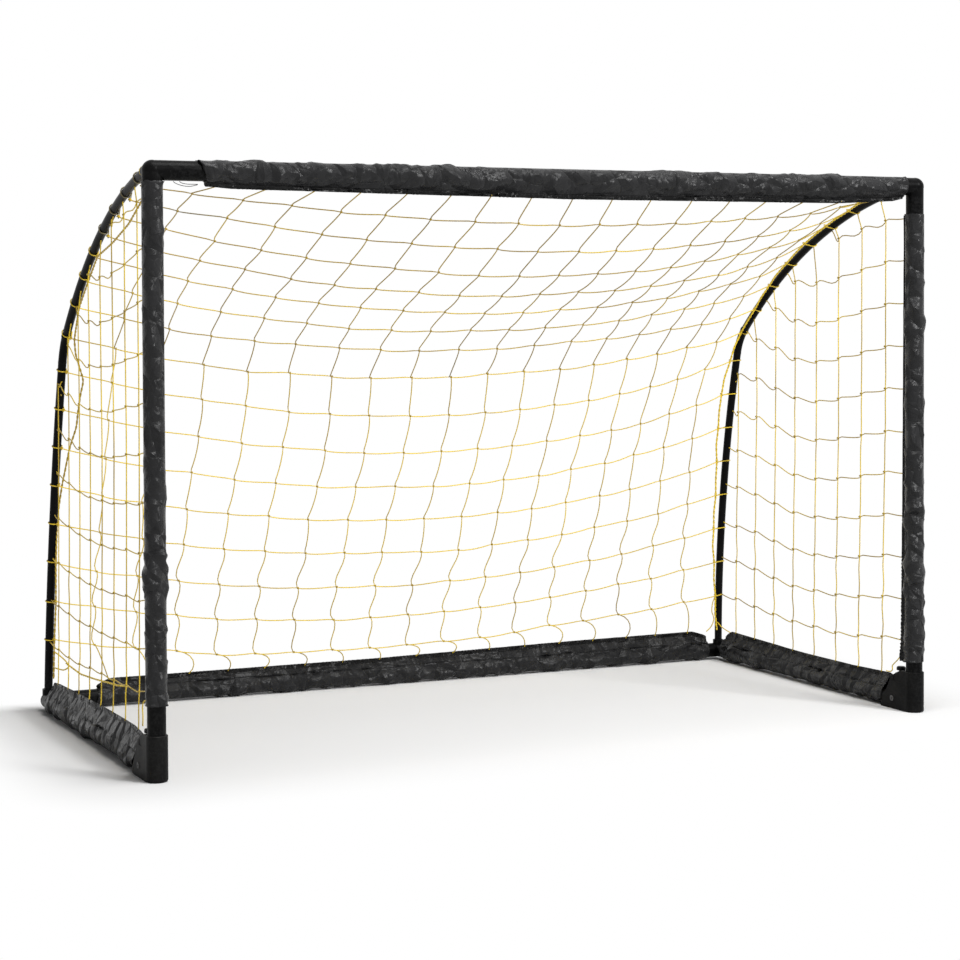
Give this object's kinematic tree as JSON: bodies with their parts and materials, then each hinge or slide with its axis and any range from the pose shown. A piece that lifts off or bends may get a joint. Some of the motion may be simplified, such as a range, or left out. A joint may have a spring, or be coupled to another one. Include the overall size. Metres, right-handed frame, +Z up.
{
  "type": "portable football goal",
  "caption": "Portable training goal: tubular front frame with fabric sleeves, folding U-shaped floor base, curved rear poles and a knotted net over roof, back and sides.",
  "frame": {"origin": "on the floor at the centre of the goal's outline", "axes": "+X to the right seen from the front, +Y to the back of the goal, +Z up"},
  "size_m": [1.837, 0.928, 1.2225],
  "materials": {
    "black_steel": "satin black powder coat",
    "foot_moulding": "finely grained black moulding",
    "rivet_steel": "blackened rivet",
    "button_plastic": "smooth black",
    "sleeve_cloth": "crinkled satin-weave nylon",
    "net_yarn": "twisted yellow cord"
  },
  "bodies": {
    "front_frame": {"left_foot": "foot_moulding", "right_foot": "foot_moulding", "left_hinge_rivet": "rivet_steel", "right_hinge_rivet": "rivet_steel", "left_lower_post": "black_steel", "right_lower_post": "black_steel", "left_upper_post": "black_steel", "right_upper_post": "black_steel", "left_elbow": "black_steel", "right_elbow": "black_steel", "left_crossbar": "black_steel", "right_crossbar": "black_steel", "crossbar_coupler": "black_steel", "crossbar_sleeve": "sleeve_cloth", "left_post_sleeve": "sleeve_cloth", "right_post_sleeve": "sleeve_cloth", "left_side_net": "net_yarn", "right_side_net": "net_yarn", "roof_net": "net_yarn", "back_net": "net_yarn"},
    "base": {"left_knuckle": "foot_moulding", "right_knuckle": "foot_moulding", "left_side_bar": "black_steel", "right_side_bar": "black_steel", "left_rear_corner": "black_steel", "right_rear_corner": "black_steel", "left_back_bar": "black_steel", "right_back_bar": "black_steel", "back_bar_coupler": "black_steel", "left_side_sleeve": "sleeve_cloth", "right_side_sleeve": "sleeve_cloth", "back_sleeve": "sleeve_cloth"},
    "left_button": {"left_release_button": "button_plastic"},
    "right_button": {"right_release_button": "button_plastic"},
    "left_pole": {"left_upper_pole": "black_steel", "left_lower_pole": "black_steel"},
    "right_pole": {"right_upper_pole": "black_steel", "right_lower_pole": "black_steel"}
  },
  "joints": [
    {"name": "base_fold", "type": "hinge", "parent": "front_frame", "child": "base", "pos_m": [0, -0.3835, 0.024], "axis": [1, 0, 0], "range_deg": [0, 90], "deforming": ["left_side_net", "right_side_net", "roof_net", "back_net", "left_side_sleeve", "right_side_sleeve"]},
    {"name": "left_button_press", "type": "slide", "parent": "front_frame", "child": "left_button", "axis": [0, 0, -1], "range_m": [0, 0.005], "stiffness_N_per_m": 300, "springref_m": -0.002},
    {"name": "right_button_press", "type": "slide", "parent": "front_frame", "child": "right_button", "axis": [0, 0, -1], "range_m": [0, 0.005], "stiffness_N_per_m": 300, "springref_m": -0.002},
    {"name": "left_pole_lift", "type": "slide", "parent": "front_frame", "child": "left_pole", "axis": [0, 0, 1], "range_m": [0, 1.571]},
    {"name": "right_pole_lift", "type": "slide", "parent": "front_frame", "child": "right_pole", "axis": [0, 0, 1], "range_m": [0, 1.571]}
  ],
  "couplings": [
    {"joint": "left_pole_lift", "follows": "base_fold", "m_per_rad": 1},
    {"joint": "right_pole_lift", "follows": "base_fold", "m_per_rad": 1}
  ]
}
